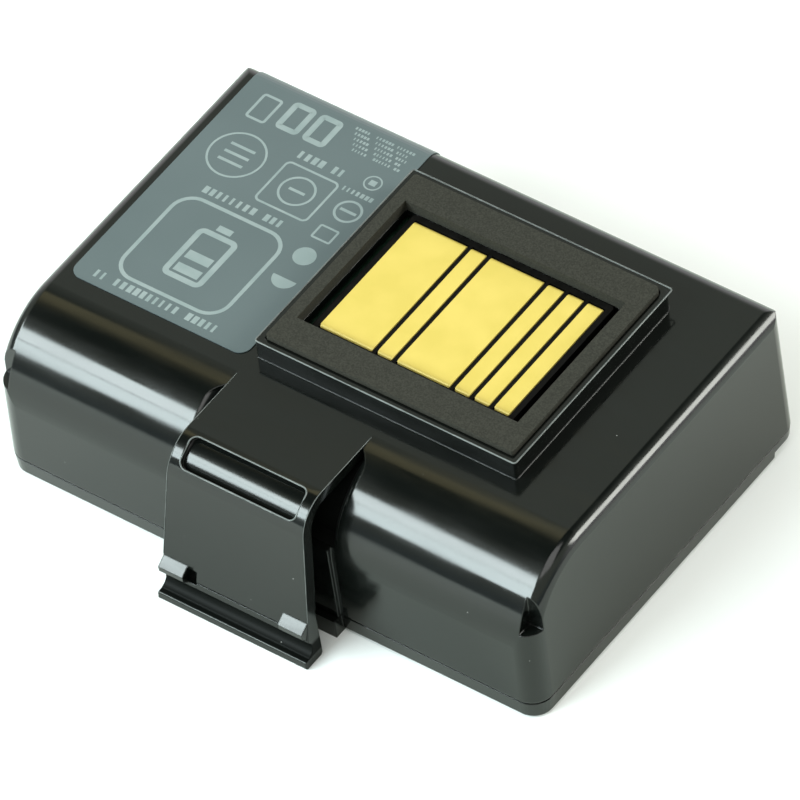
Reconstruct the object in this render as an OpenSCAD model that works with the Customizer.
// Rechargeable battery pack for a mobile printer: two round cells side by side in a
// two-piece moulded case, with a spring latch on the front and six contact plates on top.
// Units are millimetres. The origin is under the middle of the whole pack, on the surface
// that it rests on. X runs along the pack, Y from the latch to the back wall, Z up.

/* [Cells] */
// Diameter of one cell
cell_d = 18.4; // [17:0.1:21.2]
// Length of one cell with its button
cell_l = 65; // [60:0.5:72]
// Gap between the two cells
cell_gap = 0.3; // [0.1:0.1:1.5]
// Thickness of the cover's cradle under the lowest line of a cell
cell_lift = 0.5; // [0.3:0.1:1.5]
// Gap between the top of the cells and the case
head_gap = 0.4; // [0.35:0.05:1.5]
// Space between the rear cell and the back wall
back_space = 6.5; // [2:0.1:12]

/* [Case] */
// Wall thickness of both mouldings
wall = 1.6; // [1.2:0.1:2.4]
// Radius of the large rounding along the front top edge
front_r = 10.5; // [8:0.25:11.5]
// Radius along the other top edges
edge_r = 1.8; // [0.8:0.1:2.4]
// Radius of the upright corners at the seam
corner_r = 2.7; // [2:0.1:4]
// How far the back wall leans in at the top
back_draft = 1.0; // [0:0.1:1.5]
// Width of the notch in each front corner, along the front
notch_x = 1.9; // [1:0.1:3]
// Depth of the notch in each front corner, along the end
notch_y = 2.4; // [1:0.1:3]
// Height of the ledge where the corner notches end
notch_z = 14.2; // [10:0.2:16]
// Thickness of the ribs that locate the cells
rib_t = 1.2; // [0.8:0.1:2]
// Gap between the ribs and the cells
rib_gap = 0.3; // [0.1:0.05:0.6]

/* [Lower cover] */
// Height of the seam above the underside
cover_h = 2.9; // [2.4:0.1:4]
// Thickness of the cover's floor
cover_floor = 1.5; // [1:0.1:2]
// How far the underside pulls in from the seam all round
cover_draft = 0.4; // [0.1:0.05:0.8]
// Depth of the raised step along the back of the underside
step_d = 4.9; // [2:0.1:6]
// Height of the raised step
step_h = 1.4; // [0.6:0.1:1.8]
// Height of the locating tongue above the seam
tongue_h = 1.5; // [0.8:0.1:2]
// Thickness of the locating tongue
tongue_t = 0.9; // [0.6:0.1:1.2]
// Gap between the tongue and the case
fit_gap = 0.1; // [0.05:0.05:0.3]
// Width of the shadow line along the seam
seam_w = 0.25; // [0.1:0.05:0.5]

/* [Latch] */
// Middle of the latch, left or right of the middle of the case
latch_x = -0.25; // [-6:0.25:6]
// Width of the latch where it leaves the top face
band_w = 18.7; // [12:0.1:24]
// Extra width of the latch at its foot
foot_flare = 2.1; // [0:0.1:2.4]
// Thickness of the latch
band_t = 1.6; // [1:0.1:2]
// Outer radius of the latch's bend
bend_r = 4.5; // [3:0.1:6]
// Distance from the front wall back to the middle of the bend
bend_y = 0.8; // [0:0.1:2]
// Angle at which the blade stands away from the wall, in degrees
lean = 8.5; // [4:0.5:12]
// How far the finger lip reaches out from the front wall
lip_reach = 7.0; // [6.6:0.1:9]
// Height of the finger lip
lip_h = 1.2; // [0.8:0.1:2]
// Height of the foot above the surface that the pack rests on
foot_z = 0.05; // [0:0.05:1]
// Distance from the front wall to the back of the foot
foot_back = 3.9; // [3.4:0.1:4.2]
// Height of the thick part of the foot
foot_h = 4.4; // [3:0.1:6]
// Radius of the hollow above the finger lip
hollow_r = 1.2; // [0.8:0.1:1.6]
// Width of each catch lug
lug_w = 3.4; // [2:0.1:6]
// Distance from each side of the foot to its catch lug
lug_inset = 0.35; // [0.1:0.05:2]
// Height of the catch lugs' front edge
lug_z = 5.4; // [5:0.1:7]
// How far the catch lugs stand out from the blade
lug_reach = 1.1; // [0.5:0.1:1.5]
// Width of the thumb recess in the bend
thumb_w = 16.1; // [8:0.1:17]
// Depth of the thumb recess
thumb_d = 0.7; // [0.3:0.1:1]
// Where the thumb recess lies on the bend, as an angle from the top face
thumb_turn = 35; // [30:1:45]
// How much of the bend the thumb recess takes up, as an angle
thumb_arc = 54; // [30:1:60]
// Depth of the pocket that is cut into the large rounding behind the latch
pocket_d = 1.9; // [1.6:0.05:2.4]
// Gap between each side of the latch and the pocket
pocket_gap = 0.45; // [0.3:0.05:1]
// Radius that rounds over the sides of the pocket
pocket_r = 1.5; // [0.8:0.1:1.6]
// Height of the ledge where the pocket ends
pocket_z = 14; // [12.5:0.25:16]
// Wall of the case behind the pocket
skin = 1.2; // [0.8:0.1:1.5]
// Height of the raised panel behind the latch above the front wall
panel_t = 0.5; // [0.2:0.1:0.8]
// Height of the pad on the lower cover below that panel
pad_t = 1.2; // [0.4:0.1:1.6]

/* [Contact block] */
// Width of the gap between the contact carrier and the window's sides
moat_x = 1.4; // [0.6:0.1:2.4]
// Width of the gap between the contact carrier and the window's front and back
moat_y = 0.3; // [0.2:0.05:1]
// Width of the seal's two side strips with the rim outside them, on average
side_w = 2.7; // [2.5:0.1:5]
// Width of the seal's front and back strips with the rim outside them
front_w = 4.9; // [3:0.1:6]
// Middle of the block, to the right of the middle of the case
block_x = 8.8; // [6:0.2:11]
// Distance from the front wall to the block
block_y = 13.4; // [12.8:0.1:16]
// Height of the block's rim above the top face
rim_h = 2.7; // [2.4:0.1:4]
// Width of the glossy rim
rim_w = 0.8; // [0.5:0.1:1.5]
// Side wall of the block
block_wall = 1.2; // [0.9:0.1:2]
// Thickness of the ledge that carries the gasket
ledge_t = 1.1; // [0.8:0.1:1.5]
// Middle of the window, to the left of the middle of the block
window_shift = 0.3; // [0:0.1:0.6]

/* [Gasket and label] */
// Thickness of the foam gasket
gasket_t = 1.5; // [1:0.1:1.6]
// How far the gasket stands above the rim
gasket_proud = 0.6; // [0.2:0.1:1]
// Gap between the gasket and the rim
gasket_gap = 0.1; // [0.05:0.05:0.4]
// Thickness of the label
label_t = 0.12; // [0.08:0.02:0.3]
// Length of the label along the pack
label_w = 24.8; // [10:0.2:25]
// Distance from the front wall to the label
label_y = 12.6; // [12:0.2:20]
// Gap between the label and the contact block
label_gap = 1.2; // [0.5:0.1:4]
// How far the label reaches down the back wall
label_drop = 8; // [4:0.5:12]
// Radius of the label's corners
label_r = 1.5; // [0.5:0.1:3]

/* [Contacts] */
// Width of a wide contact plate
plate_wide = 7.3; // [5:0.1:7.5]
// Width of a narrow contact plate
plate_narrow = 2.05; // [1.5:0.05:2.2]
// Gap between two contact plates
plate_gap = 0.67; // [0.5:0.01:0.9]
// Length of a contact plate, front to back
plate_l = 18.9; // [14:0.1:19.2]
// Thickness of a contact plate
plate_t = 0.3; // [0.2:0.05:0.4]
// How far the plates lie below the rim
plate_drop = 0.5; // [0.2:0.1:1]
// Width of the carrier's border round the plates
carrier_edge = 0.8; // [0.6:0.05:0.9]
// Width of the carrier's flange under the ledge
flange_w = 0.9; // [0.5:0.1:1]
// Thickness of the carrier's flange
flange_t = 0.8; // [0.5:0.1:1]
// Gap round each plate in its seat
seat_gap = 0.1; // [0.05:0.01:0.15]

/* [Electronics] */
// Thickness of the protection board
board_t = 1.0; // [0.8:0.1:1.2]
// Gap between the board's edge and the block
board_gap = 0.25; // [0.1:0.05:0.6]
// Thickness of the nickel strips
strip_t = 0.15; // [0.1:0.05:0.25]
// Width of the nickel strips
strip_w = 6; // [4:0.5:8]
// Diameter of the sense wire
wire_d = 1.2; // [0.8:0.1:1.6]
// Thickness of the foam pads at the ends of the cells
end_pad_t = 3.25; // [1.5:0.05:6]
// Length of the foam pads between cells and board
board_pad_l = 24; // [10:1:26]
// Width of the foam pads between cells and board
board_pad_w = 3.5; // [2:0.1:5]

/* [Hidden] */
$fn = 64;
hull_fn = 32;
eps = 0.01;
join = 0.05;

// The case is sized from the two cells, and its front wall lies at y = 0 until the
// whole pack is moved to its own origin.
cell_r = cell_d / 2;
cell_z = cover_floor + cell_lift + cell_r;
case_l = cell_l + 2 * (strip_t + end_pad_t + wall);
case_h = cell_z + cell_r + head_gap + wall;
inner_top = case_h - wall;
inner_l = case_l - 2 * wall;

// The front cell sits just behind the wall of the latch recess.
pocket_y = front_r - 1;
skin_y = pocket_y + skin;
skin_drop = case_h - pocket_d - skin - cell_z;
front_cell_y = skin_y + sqrt(max(0, pow(cell_r + rib_gap, 2) - pow(skin_drop, 2)));
rear_cell_y = front_cell_y + cell_d + cell_gap;
valley_y = (front_cell_y + rear_cell_y) / 2;
case_d = rear_cell_y + cell_r + back_space + wall;
origin_y = (lip_reach - case_d) / 2;

// Latch
round_z = case_h - front_r;
back_r = edge_r + 0.3;
root_y = front_r + 1;
bend_z = case_h - bend_r;
blade_top_y = bend_y - bend_r * cos(lean);
blade_top_z = bend_z + bend_r * sin(lean);
foot_w = band_w + foot_flare;
pocket_w = band_w + 2 * pocket_gap;
mouth_w = pocket_w + 2 * pocket_r;
lug_slope = 0.8;
lug_edge = 0.8;
lug_under = 1.3;
lip_top = foot_z + lip_h;

// Block and what it holds, from the top down
rim_z = case_h + rim_h;
gasket_z = rim_z + gasket_proud - gasket_t;
ledge_z = gasket_z - ledge_t;
plate_widths = [plate_wide, plate_narrow, plate_wide, plate_narrow, plate_narrow, plate_narrow];
plates_w = total(plate_widths) + (len(plate_widths) - 1) * plate_gap;
carrier_w = plates_w + 2 * carrier_edge;
carrier_d = plate_l + 2 * carrier_edge;
window_w = carrier_w + 2 * moat_x;
window_d = carrier_d + 2 * moat_y;
block_w = window_w + 2 * side_w;
block_d = window_d + 2 * front_w;
block_mid_y = block_y + block_d / 2;
window_x = block_x - window_shift;
plate_z = rim_z - plate_drop;
seat_z = plate_z - plate_t;
board_top = ledge_z - flange_t;
board_z = board_top - board_t;
board_w = block_w - 2 * (block_wall + board_gap);
board_d = block_d - 2 * (block_wall + board_gap);
rib_z = plate_z - 0.12;

// Parts in a row on the board's underside, spread evenly from the sense wire to the right
chip_l = 3;
switch_l = 3;
bead_d = 2.4;
shunt_l = 6.3;
fuse_l = 2.4;
resistor_l = 1;
row_start = block_x - board_w / 2 + 2.4;
row_l = wire_d + 2 * resistor_l + chip_l + 2 * switch_l + bead_d + shunt_l + fuse_l;
part_gap = (board_w - 4.4 - row_l) / 8;
wire_end_x = row_start + wire_d / 2;
resistor_x1 = wire_end_x + wire_d / 2 + part_gap + resistor_l / 2;
chip_x = resistor_x1 + resistor_l / 2 + part_gap + chip_l / 2;
resistor_x2 = chip_x + chip_l / 2 + part_gap + resistor_l / 2;
charge_x = resistor_x2 + resistor_l / 2 + part_gap + switch_l / 2;
bead_x = charge_x + switch_l / 2 + part_gap + bead_d / 2;
discharge_x = bead_x + bead_d / 2 + part_gap + switch_l / 2;
shunt_x = discharge_x + switch_l / 2 + part_gap + shunt_l / 2;
fuse_x = shunt_x + shunt_l / 2 + part_gap + fuse_l / 2;
strip_in_x = block_x + board_w / 2 - 3.5;

function total(v, i = 0) = i < len(v) ? v[i] + total(v, i + 1) : 0;
function plate_x(i) = i == 0 ? -plates_w / 2 : plate_x(i - 1) + plate_widths[i - 1] + plate_gap;
function blade_y(z) = blade_top_y - (blade_top_z - z) * tan(lean);

module placed() translate([0, origin_y, 0]) children();

// Rounded rectangle with its own radius at the back right corner
module soft_rect(w, d, r, r_back = 0) {
    big = max(r, r_back);
    difference() {
        square([w, d], center = true);
        for (sx = [-1, 1], sy = [-1, 1]) {
            c = sx > 0 && sy > 0 ? big : r;
            translate([sx * (w / 2 - c), sy * (d / 2 - c)]) difference() {
                translate([sx > 0 ? 0 : -c - 1, sy > 0 ? 0 : -c - 1]) square(c + 1);
                circle(c);
            }
        }
    }
}

// A section drawn in y and z, run along x about a middle
module along_x(middle, length) translate([middle - length / 2, 0, 0])
    rotate([90, 0, 90]) linear_extrude(length) children();

// Outline of the case in plan, pulled in by a margin
module case_plan(margin) {
    r = max(corner_r - margin, 0.5);
    translate([0, case_d / 2]) soft_rect(case_l - 2 * margin, case_d - 2 * margin, r);
}

// Inside of the case in plan, pulled in by a margin
module inner_plan(margin) translate([-inner_l / 2 + margin, wall + margin])
    square([inner_l - 2 * margin, case_d - 2 * (wall + margin)]);

// Pocket behind the latch: it follows the large rounding and its sides are rounded over
module latch_pocket() translate([latch_x, 0, 0]) intersection() {
    translate([0, front_r, round_z]) rotate([0, 90, 0]) rotate_extrude() pocket_profile();
    translate([0, pocket_y - case_d / 2, pocket_z]) linear_extrude(case_h) difference() {
        square([mouth_w + 0.5, case_d], center = true);
        for (s = [-1, 1]) translate([s * (mouth_w / 2 - 5), case_d / 2 - 5]) difference() {
            translate([s > 0 ? 0 : -7, 0]) square(7);
            circle(5);
        }
    }
}

module pocket_profile() {
    floor_r = front_r - pocket_d;
    shoulder_r = front_r - pocket_r + 0.03;
    translate([floor_r, -pocket_w / 2]) square([pocket_d + 2, pocket_w]);
    for (s = [-1, 1]) translate([shoulder_r, s * (pocket_w + pocket_r) / 2]) difference() {
        translate([0, -pocket_r / 2 - 0.1]) square([pocket_r + 2, pocket_r + 0.2]);
        translate([0, s * pocket_r / 2]) circle(pocket_r);
        translate([-1, s > 0 ? pocket_r / 2 : -pocket_r / 2 - 2]) square([pocket_r + 4, 2]);
    }
}

// Wall that is left standing inside the case behind the pocket
module pocket_wall() along_x(latch_x, mouth_w + 2 * skin) difference() {
    translate([0, pocket_z - skin]) square([skin_y, case_h]);
    translate([front_r, round_z]) circle(front_r - pocket_d - skin);
    translate([front_r, 0]) square([front_r, case_h - pocket_d - skin]);
}

// Outer form of the upper moulding: its section along the pack, cut to the plan and to
// the rounding along its end edges
module case_form() difference() {
    intersection() {
        along_x(0, case_l + 2) case_section();
        translate([0, 0, cover_h]) linear_extrude(case_h) {
            case_plan(0);
            translate([-case_l / 2, case_d / 2]) square([case_l, case_d / 2 + 1]);
        }
        translate([0, case_d + 1, 0]) rotate([90, 0, 0]) linear_extrude(case_d + 2) end_section();
    }
    for (s = [-1, 1]) {
        front_edge(s);
        back_corner(s);
    }
}

// Cuts the rounding of an upright back corner, which leans in with the back wall
module back_corner(side) translate([side * (case_l / 2 + 0.02), case_d + 0.02, cover_h])
    rotate([atan(back_draft / (case_h - cover_h)), 0, 0]) translate([0, 0, -2])
        linear_extrude(case_h + 4) difference() {
            translate([side > 0 ? -corner_r : -2, -corner_r]) square(corner_r + 2);
            translate([-side * corner_r, -corner_r]) circle(corner_r);
        }

// Cuts the rounding where the large front rounding meets an end wall
module front_edge(side) intersection() {
    translate([side * (case_l / 2 + 0.02), front_r, round_z]) rotate([0, -side * 90, 0])
        rotate_extrude() difference() {
            translate([front_r + 0.02 - edge_r, -1]) square([edge_r + 2, edge_r + 1]);
            translate([front_r + 0.02 - edge_r, edge_r]) circle(edge_r);
        }
    translate([side > 0 ? case_l / 2 - edge_r - 1 : -case_l / 2 - 2, -2, round_z])
        cube([edge_r + 3, front_r + 2, front_r + 2]);
}

module case_section() {
    back_y = case_d - back_draft;
    polygon([[0, cover_h - 1], [0, round_z], [front_r, round_z], [front_r, case_h],
        [back_y - back_r, case_h], [back_y - back_r, case_h - back_r], [back_y, case_h - back_r],
        [case_d, cover_h], [case_d, cover_h - 1]]);
    translate([front_r, round_z]) circle(front_r);
    translate([back_y - back_r, case_h - back_r]) circle(back_r);
}

module end_section() {
    w = case_l / 2 + 0.02;
    h = case_h + 0.02;
    translate([-w, 0]) square([2 * w, h - edge_r]);
    translate([edge_r - w, 0]) square([2 * (w - edge_r), h]);
    for (s = [-1, 1]) translate([s * (w - edge_r), h - edge_r]) circle(edge_r);
}

// Hollow of the upper moulding
module case_hollow() difference() {
    intersection() {
        translate([0, 0, cover_h - 1]) linear_extrude(case_h) inner_plan(0);
        along_x(0, case_l) inner_section();
    }
    for (s = [-1, 1])
        translate([s > 0 ? case_l / 2 - notch_x - wall : -case_l / 2, 0, notch_z - wall])
            cube([notch_x + wall, notch_y + wall, case_h]);
    pocket_wall();
}

module inner_section() {
    polygon([[wall, 0], [wall, round_z], [front_r, round_z], [front_r, inner_top],
        [case_d - wall - back_draft, inner_top], [case_d - wall, cover_h], [case_d - wall, 0]]);
    translate([front_r, round_z]) circle(front_r - wall);
}

// Square notch in each front corner, from the rounding down to its ledge
module corner_notches() for (s = [-1, 1])
    translate([s > 0 ? case_l / 2 - notch_x : -case_l / 2 - 1, -1, notch_z])
        cube([notch_x + 1, notch_y + 1, case_h]);

// Ribs on the front and back walls, cut back to the cells
module case_ribs() difference() {
    rib_z0 = cover_h + tongue_h + rib_gap;
    back_y = rear_cell_y + 0.7 * cell_r;
    front_end = front_cell_y - 0.7 * cell_r;
    union() {
        for (x = [-0.3, 0, 0.3]) translate([x * case_l - rib_t / 2, back_y, rib_z0])
            cube([rib_t, case_d - wall - back_draft - back_y + 0.2, inner_top - rib_z0 + 0.2]);
        for (x = [-0.4, -0.24, 0.24, 0.4]) translate([x * case_l - rib_t / 2, wall - 0.2, rib_z0])
            cube([rib_t, front_end - wall + 0.2, round_z - rib_z0]);
    }
    cell_space(rib_gap);
}

// Room of the two cells with a gap round them
module cell_space(gap) for (y = [front_cell_y, rear_cell_y])
    translate([-case_l / 2, y, cell_z]) rotate([0, 90, 0]) cylinder(h = case_l, r = cell_r + gap);

// Walls of the raised block that carries the contacts
module block_shell() difference() {
    translate([block_x, block_mid_y, inner_top]) linear_extrude(rim_z - inner_top)
        soft_rect(block_w, block_d, 0.3, 1.5);
    translate([block_x, block_mid_y, gasket_z]) linear_extrude(gasket_t)
        soft_rect(block_w - 2 * rim_w, block_d - 2 * rim_w, 0.2, 0.8);
    translate([window_x, block_mid_y, ledge_z - 1]) linear_extrude(ledge_t + 2)
        square([window_w, window_d], center = true);
    block_hollow();
}

module block_hollow() translate([block_x, block_mid_y, inner_top - 1])
    linear_extrude(ledge_z - inner_top + 1)
        square([block_w - 2 * block_wall, block_d - 2 * block_wall], center = true);

// Latch: a strap that leaves the top face, bends over the front and ends in a lip
module latch_section() difference() {
    union() {
        translate([bend_y, case_h - band_t]) square([root_y + 0.6 - bend_y, band_t]);
        intersection() {
            translate([bend_y, bend_z]) difference() {
                circle(bend_r);
                circle(bend_r - band_t);
            }
            polygon([[bend_y, bend_z], [bend_y + eps, case_h + 1], [-bend_r - 1, case_h + 1],
                [bend_y - 2 * bend_r * cos(lean), bend_z + 2 * bend_r * sin(lean)]]);
        }
        polygon([[blade_top_y + join * sin(lean), blade_top_z + join * cos(lean)],
            [blade_y(lip_top), lip_top], [blade_y(lip_top) + band_t / cos(lean), lip_top],
            [blade_top_y + band_t * cos(lean) + join * sin(lean),
            blade_top_z - band_t * sin(lean) + join * cos(lean)]]);
        foot_section();
    }
    translate([blade_y(lip_top) - 0.3, lip_top + hollow_r + join]) circle(hollow_r);
}

module foot_section() polygon([[blade_y(foot_h + 2), foot_h + 2], [blade_y(lip_top), lip_top],
    [-lip_reach + 0.15, lip_top], [-lip_reach, lip_top - 0.15], [-lip_reach, foot_z + 0.2],
    [-lip_reach + 0.2, foot_z], [-foot_back - 0.3, foot_z], [-foot_back, foot_z + 0.3],
    [-foot_back, foot_h], [blade_y(foot_h + 2) + band_t / cos(lean), foot_h + 2]]);

// Sides of the latch, which spread from the bend to the foot
module latch_sides() translate([0, root_y + 1, 0]) rotate([90, 0, 0])
    linear_extrude(lip_reach + root_y + 2)
        polygon([[-foot_w / 2, 0], [-band_w / 2, case_h - band_t], [-band_w / 2, case_h + 1],
            [band_w / 2, case_h + 1], [band_w / 2, case_h - band_t], [foot_w / 2, 0]]);

// Catch lug with a sloped top, a short front and an undercut
module catch_lug() rotate([90, 0, 90]) linear_extrude(lug_w) polygon([
    [blade_y(lug_z + lug_slope) + 0.3, lug_z + lug_slope + 0.3],
    [blade_y(lug_z) - lug_reach, lug_z], [blade_y(lug_z) - lug_reach + 0.1, lug_z - lug_edge],
    [blade_y(lug_z - lug_edge - lug_under) + 0.6, lug_z - lug_edge - lug_under],
    [blade_y(lug_z) + band_t / 2, lug_z - lug_edge]]);

// Thumb recess that follows the bend, with rounded corners
module thumb_recess() difference() {
    translate([0, bend_y, bend_z]) rotate([thumb_turn, 0, 0]) linear_extrude(bend_r + 1)
        soft_rect(thumb_w, 2 * bend_r * sin(thumb_arc / 2), 0.9);
    along_x(0, thumb_w + 2) translate([bend_y, bend_z]) circle(bend_r - thumb_d);
}

module latch() translate([latch_x, 0, 0]) difference() {
    union() {
        intersection() {
            along_x(0, foot_w + 2) latch_section();
            latch_sides();
        }
        for (x = [-foot_w / 2 + lug_inset, foot_w / 2 - lug_inset - lug_w])
            translate([x, 0, 0]) catch_lug();
    }
    thumb_recess();
    translate([-foot_w / 2 + lug_inset + lug_w, blade_y(lug_z) - 0.5, lug_z - 1.4])
        cube([1.2, 1.2, 2]);
    translate([-foot_w / 2 + lug_inset + lug_w + 1, blade_y(lug_z - 1) - 0.5, lug_z - 1.1])
        cube([foot_w - 2 * (lug_inset + lug_w) - 1, 0.7, 0.15]);
}

// Raised panel on the front wall behind the latch
module latch_panel() translate([latch_x, wall / 2, 0]) rotate([90, 0, 0])
    linear_extrude(wall / 2 + panel_t) polygon([[-foot_w / 2, cover_h], [foot_w / 2, cover_h],
        [foot_w / 2 - 0.4, pocket_z - 0.2], [0.4 - foot_w / 2, pocket_z - 0.2]]);

module upper_housing() color("#2b2e2f") placed() {
    difference() {
        union() {
            case_form();
            block_shell();
        }
        case_hollow();
        block_hollow();
        latch_pocket();
        corner_notches();
        translate([window_x, block_mid_y, inner_top - 1]) linear_extrude(gasket_z - inner_top + 2)
            square([window_w, window_d], center = true);
    }
    case_ribs();
    latch_panel();
    latch();
}

// Lower cover: a shallow tray with a raised step along its back edge
module cover_form() difference() {
    hull() {
        translate([0, 0, cover_h - 0.1]) linear_extrude(0.1) case_plan(0, $fn = hull_fn);
        translate([0, 0, 0.5]) linear_extrude(0.1) case_plan(cover_draft * 0.6, $fn = hull_fn);
        linear_extrude(0.1) case_plan(cover_draft + 0.4, $fn = hull_fn);
    }
    translate([-case_l / 2 - 1, case_d - step_d, -1]) cube([case_l + 2, step_d + 1, step_h + 1]);
    translate([0, 0, cover_h - seam_w]) linear_extrude(1) difference() {
        translate([0, case_d / 2]) square([case_l + 2, case_d + 2], center = true);
        case_plan(seam_w);
    }
}

module cover_hollow() {
    margin = fit_gap + tongue_t;
    translate([0, 0, cover_floor]) linear_extrude(cover_h) intersection() {
        inner_plan(margin);
        translate([-case_l, 0]) square([2 * case_l, case_d - step_d - cover_floor]);
    }
    translate([0, 0, step_h + cover_floor]) linear_extrude(cover_h) inner_plan(margin);
}

module cover_tongue() translate([0, 0, cover_h - eps]) linear_extrude(tongue_h) difference() {
    inner_plan(fit_gap);
    inner_plan(fit_gap + tongue_t);
}

// Cradle ribs under the cells
module cover_cradle() difference() {
    for (x = [-0.32, 0, 0.32])
        translate([x * case_l - rib_t / 2, 2 * wall, cover_floor - eps])
            cube([rib_t, rear_cell_y + 0.6 * cell_r - 2 * wall, 0.4 * cell_r]);
    cell_space(fit_gap);
}

module lower_cover() color("#242728") placed() {
    difference() {
        cover_form();
        cover_hollow();
    }
    translate([latch_x - foot_w / 2, -pad_t, 0]) cube([foot_w, pad_t + 1, cover_h - seam_w]);
    cover_tongue();
    cover_cradle();
}

// Carrier that holds the contact plates in the window
module contact_carrier() color("#1c1d1e") placed() translate([window_x, block_mid_y, 0])
    difference() {
        union() {
            translate([0, 0, board_top]) linear_extrude(flange_t)
                square([carrier_w + 2 * flange_w, carrier_d + 2 * flange_w], center = true);
            translate([0, 0, board_top]) linear_extrude(rib_z - board_top)
                soft_rect(carrier_w, carrier_d, 0.4);
        }
        for (i = [0 : len(plate_widths) - 1])
            translate([plate_x(i) - seat_gap, -plate_l / 2 - seat_gap, 0]) plate_seat(plate_widths[i]);
    }

// Seat of one plate: a shallow pocket, with a slot for the leg at each end
module plate_seat(w) {
    seat_w = w + 2 * seat_gap;
    seat_l = plate_l + 2 * seat_gap;
    leg = plate_t + 2 * seat_gap;
    translate([0, 0, seat_z]) cube([seat_w, seat_l, 2]);
    for (y = [0, seat_l - leg]) translate([0, y, board_top - 1]) cube([seat_w, leg, rim_h + 3]);
}

// Contact plate with both ends folded down to the board
module contact_plate(i) color("#e8cf6a") placed() translate([window_x, block_mid_y, 0])
    intersection() {
        along_x(plate_x(i) + plate_widths[i] / 2, plate_widths[i]) plate_section();
        translate([plate_x(i) + plate_widths[i] / 2, 0, board_top - 1]) linear_extrude(10)
            soft_rect(plate_widths[i], plate_l, 0.35);
    }

module plate_section() difference() {
    fold_r = 2 * plate_t;
    union() {
        translate([-plate_l / 2 + fold_r, board_top]) square([plate_l - 2 * fold_r, plate_z - board_top]);
        translate([-plate_l / 2, board_top]) square([plate_l, plate_z - board_top - fold_r]);
        for (s = [-1, 1]) translate([s * (plate_l / 2 - fold_r), plate_z - fold_r]) circle(fold_r);
    }
    translate([-plate_l / 2 + plate_t, board_top - 1])
        square([plate_l - 2 * plate_t, seat_z - board_top + 1]);
}

module foam_gasket() color("#4a4743") placed() translate([0, block_mid_y, gasket_z])
    linear_extrude(gasket_t) difference() {
        translate([block_x, 0]) soft_rect(block_w - 2 * (rim_w + gasket_gap),
            block_d - 2 * (rim_w + gasket_gap), 0.3, 0.8);
        translate([window_x, 0]) square([window_w, window_d], center = true);
    }

// Label: a thin sheet on the top face that runs on over the back edge
module label_line(lift) hull() {
    translate([case_d - back_draft - back_r, case_h - back_r]) circle(back_r + lift, $fn = hull_fn);
    translate([0, cover_h]) square([case_d + lift, 0.1]);
    translate([0, cover_h]) square([front_r, case_h - cover_h + lift]);
}

module rating_label() color("#7d8a8c") placed() intersection() {
    label_x = block_x - block_w / 2 - label_gap - label_w / 2;
    label_l = case_d - label_y + 2;
    along_x(label_x, label_w) difference() {
        label_line(0.02 + label_t);
        label_line(0.02);
    }
    translate([label_x, label_y + label_l / 2, case_h - label_drop]) linear_extrude(label_drop + 1)
        soft_rect(label_w, label_l, label_r);
}

// Round cell, standing on its flat end, with a crimp and a button at the other end
module cell_body() rotate_extrude() difference() {
    rim = cell_l - 0.8;
    union() {
        translate([0, 0.6]) square([cell_r, rim - 1.2]);
        square([cell_r - 0.6, rim]);
        for (z = [0.6, rim - 0.6]) translate([cell_r - 0.6, z]) circle(0.6, $fn = hull_fn);
        square([2.8, cell_l]);
    }
    translate([cell_r + 0.6, rim - 3.2]) circle(1.4, $fn = hull_fn);
    translate([-1, -1]) square([1, cell_l + 2]);
}

module cell_at(y, button_right) placed() translate([button_right ? -cell_l / 2 : cell_l / 2, y, cell_z])
    rotate([0, button_right ? 90 : -90, 0]) children();

module front_cell() color("#2f6f9c") cell_at(front_cell_y, false) cell_body();
module rear_cell() color("#2f6f9c") cell_at(rear_cell_y, true) cell_body();

// Insulating ring round a cell's button
module cell_ring() translate([0, 0, cell_l - 0.8]) difference() {
    cylinder(h = 0.3, r = cell_r - 0.8);
    translate([0, 0, -1]) cylinder(h = 3, r = 3.4);
}

module front_cell_ring() color("#e6e2d2") cell_at(front_cell_y, false) cell_ring();
module rear_cell_ring() color("#e6e2d2") cell_at(rear_cell_y, true) cell_ring();

// Nickel link across the left ends of both cells, with a tab for the sense wire
module series_link() color("#b9bcbf") placed() translate([-cell_l / 2 - strip_t, 0, 0])
    rotate([90, 0, 90]) linear_extrude(strip_t) {
        translate([front_cell_y, cell_z - strip_w / 2])
            square([rear_cell_y - front_cell_y, strip_w]);
        for (y = [front_cell_y, rear_cell_y]) translate([y, cell_z]) circle(strip_w / 2);
        translate([valley_y - 1.5, cell_z]) square([3, wire_z() + wire_d / 2 - cell_z]);
    }

function wire_z() = cell_z + 0.8 * cell_r;

// Nickel strip from a cell's right end, over its top and under the board
module end_strip(y) placed() translate([0, y + strip_w / 2, 0]) rotate([90, 0, 0])
    linear_extrude(strip_w) {
        top = cell_z + cell_r + 0.05;
        rise_x = block_x + block_w / 2 - block_wall - 0.7;
        translate([cell_l / 2, cell_z - strip_w / 2])
            square([strip_t, top + strip_t - cell_z + strip_w / 2]);
        translate([rise_x, top]) square([cell_l / 2 + strip_t - rise_x, strip_t]);
        translate([rise_x, top]) square([strip_t, board_z - top]);
        translate([strip_in_x, board_z - strip_t]) square([rise_x + strip_t - strip_in_x, strip_t]);
    }

module negative_strip() color("#b9bcbf")
    end_strip(max(front_cell_y, block_y + block_wall + board_gap + strip_w / 2));
module positive_strip() color("#b9bcbf") end_strip(rear_cell_y);

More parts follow.
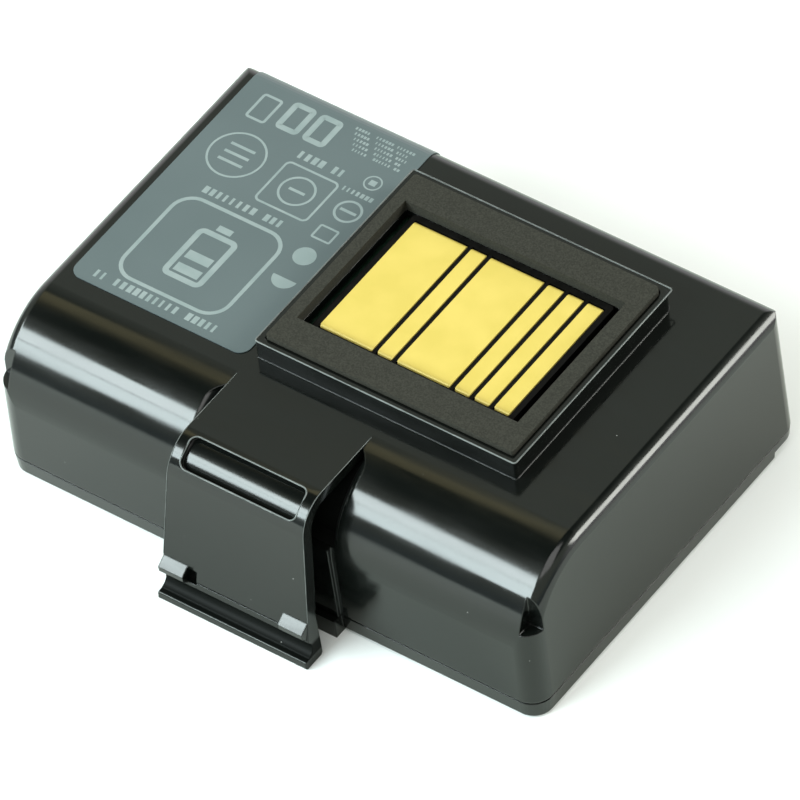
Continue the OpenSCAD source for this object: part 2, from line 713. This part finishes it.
// Insulated wire in the valley between the cells, bent up to the board
module sense_wire() color("#c8402f") placed() translate([0, valley_y, wire_z()]) {
    bend = 1.5;
    run = wire_end_x - bend + cell_l / 2;
    translate([-cell_l / 2, 0, 0]) rotate([0, 90, 0]) cylinder(h = run, d = wire_d);
    translate([wire_end_x - bend, 0, bend]) rotate([90, 0, 0]) rotate([0, 0, -90])
        rotate_extrude(angle = 90) translate([bend, 0]) circle(d = wire_d);
    translate([wire_end_x, 0, bend]) cylinder(h = board_z - wire_z() - bend, d = wire_d);
}

module protection_board() color("#1f6a3c") placed() translate([block_x, block_mid_y, board_z])
    linear_extrude(board_t) soft_rect(board_w, board_d, 0.8);

// Small part soldered under the board, in the valley between the cells
module under_board(x, size, y = 0) placed()
    translate([x - size[0] / 2, valley_y + y - size[1] / 2, board_z - size[2]]) cube(size);

module protection_chip() color("#202122") under_board(chip_x, [chip_l, 3, 1]);
module charge_switch() color("#202122") under_board(charge_x, [switch_l, 4.4, 1.1]);
module discharge_switch() color("#202122") under_board(discharge_x, [switch_l, 4.4, 1.1]);
module current_shunt() color("#3c3f42") under_board(shunt_x, [shunt_l, 3.2, 0.6]);
module resettable_fuse() color("#4f7a4a") under_board(fuse_x, [fuse_l, 4.5, 0.9]);

// Thermistor bead on two leads, between the cells
module thermistor() color("#3a3d40") placed() translate([bead_x, valley_y, 0]) {
    bead_z = wire_z() + 0.6;
    translate([0, 0, bead_z]) sphere(bead_d / 2);
    for (s = [-1, 1]) translate([0, s * 0.5, bead_z]) cylinder(h = board_z - bead_z, d = 0.5);
}

module chip_resistors() color("#d9d4c6") for (x = [resistor_x1, resistor_x2], y = [-1.4, 0, 1.4])
    under_board(x, [resistor_l, 0.6, 0.5], y);

// Foam pad that lies on a cell, under the board
module board_pad(y) placed() difference() {
    translate([block_x - board_pad_l / 2 - 2, y - board_pad_w / 2, cell_z])
        cube([board_pad_l, board_pad_w, board_z - cell_z]);
    cell_space(0.02);
}

module board_pad_front() color("#303234")
    board_pad(block_mid_y - board_d / 2 + 1 + board_pad_w / 2);
module board_pad_rear() color("#303234") board_pad(rear_cell_y);

// Foam pad between the cell ends and an end wall
module end_pad(x) placed() translate([x, 0, 0]) rotate([90, 0, 90]) linear_extrude(end_pad_t)
    translate([valley_y, cell_z]) soft_rect(1.7 * cell_d, 0.6 * cell_d, 1);

module end_pad_left() color("#303234") end_pad(-inner_l / 2);
module end_pad_right() color("#303234") end_pad(inner_l / 2 - end_pad_t);

upper_housing();
lower_cover();
contact_carrier();
contact_plate(0);  // contact_plate_1
contact_plate(1);  // contact_plate_2
contact_plate(2);  // contact_plate_3
contact_plate(3);  // contact_plate_4
contact_plate(4);  // contact_plate_5
contact_plate(5);  // contact_plate_6
foam_gasket();
rating_label();
front_cell();
rear_cell();
front_cell_ring();
rear_cell_ring();
series_link();
negative_strip();
positive_strip();
sense_wire();
protection_board();
protection_chip();
charge_switch();
discharge_switch();
current_shunt();
resettable_fuse();
thermistor();
chip_resistors();
board_pad_front();
board_pad_rear();
end_pad_left();
end_pad_right();
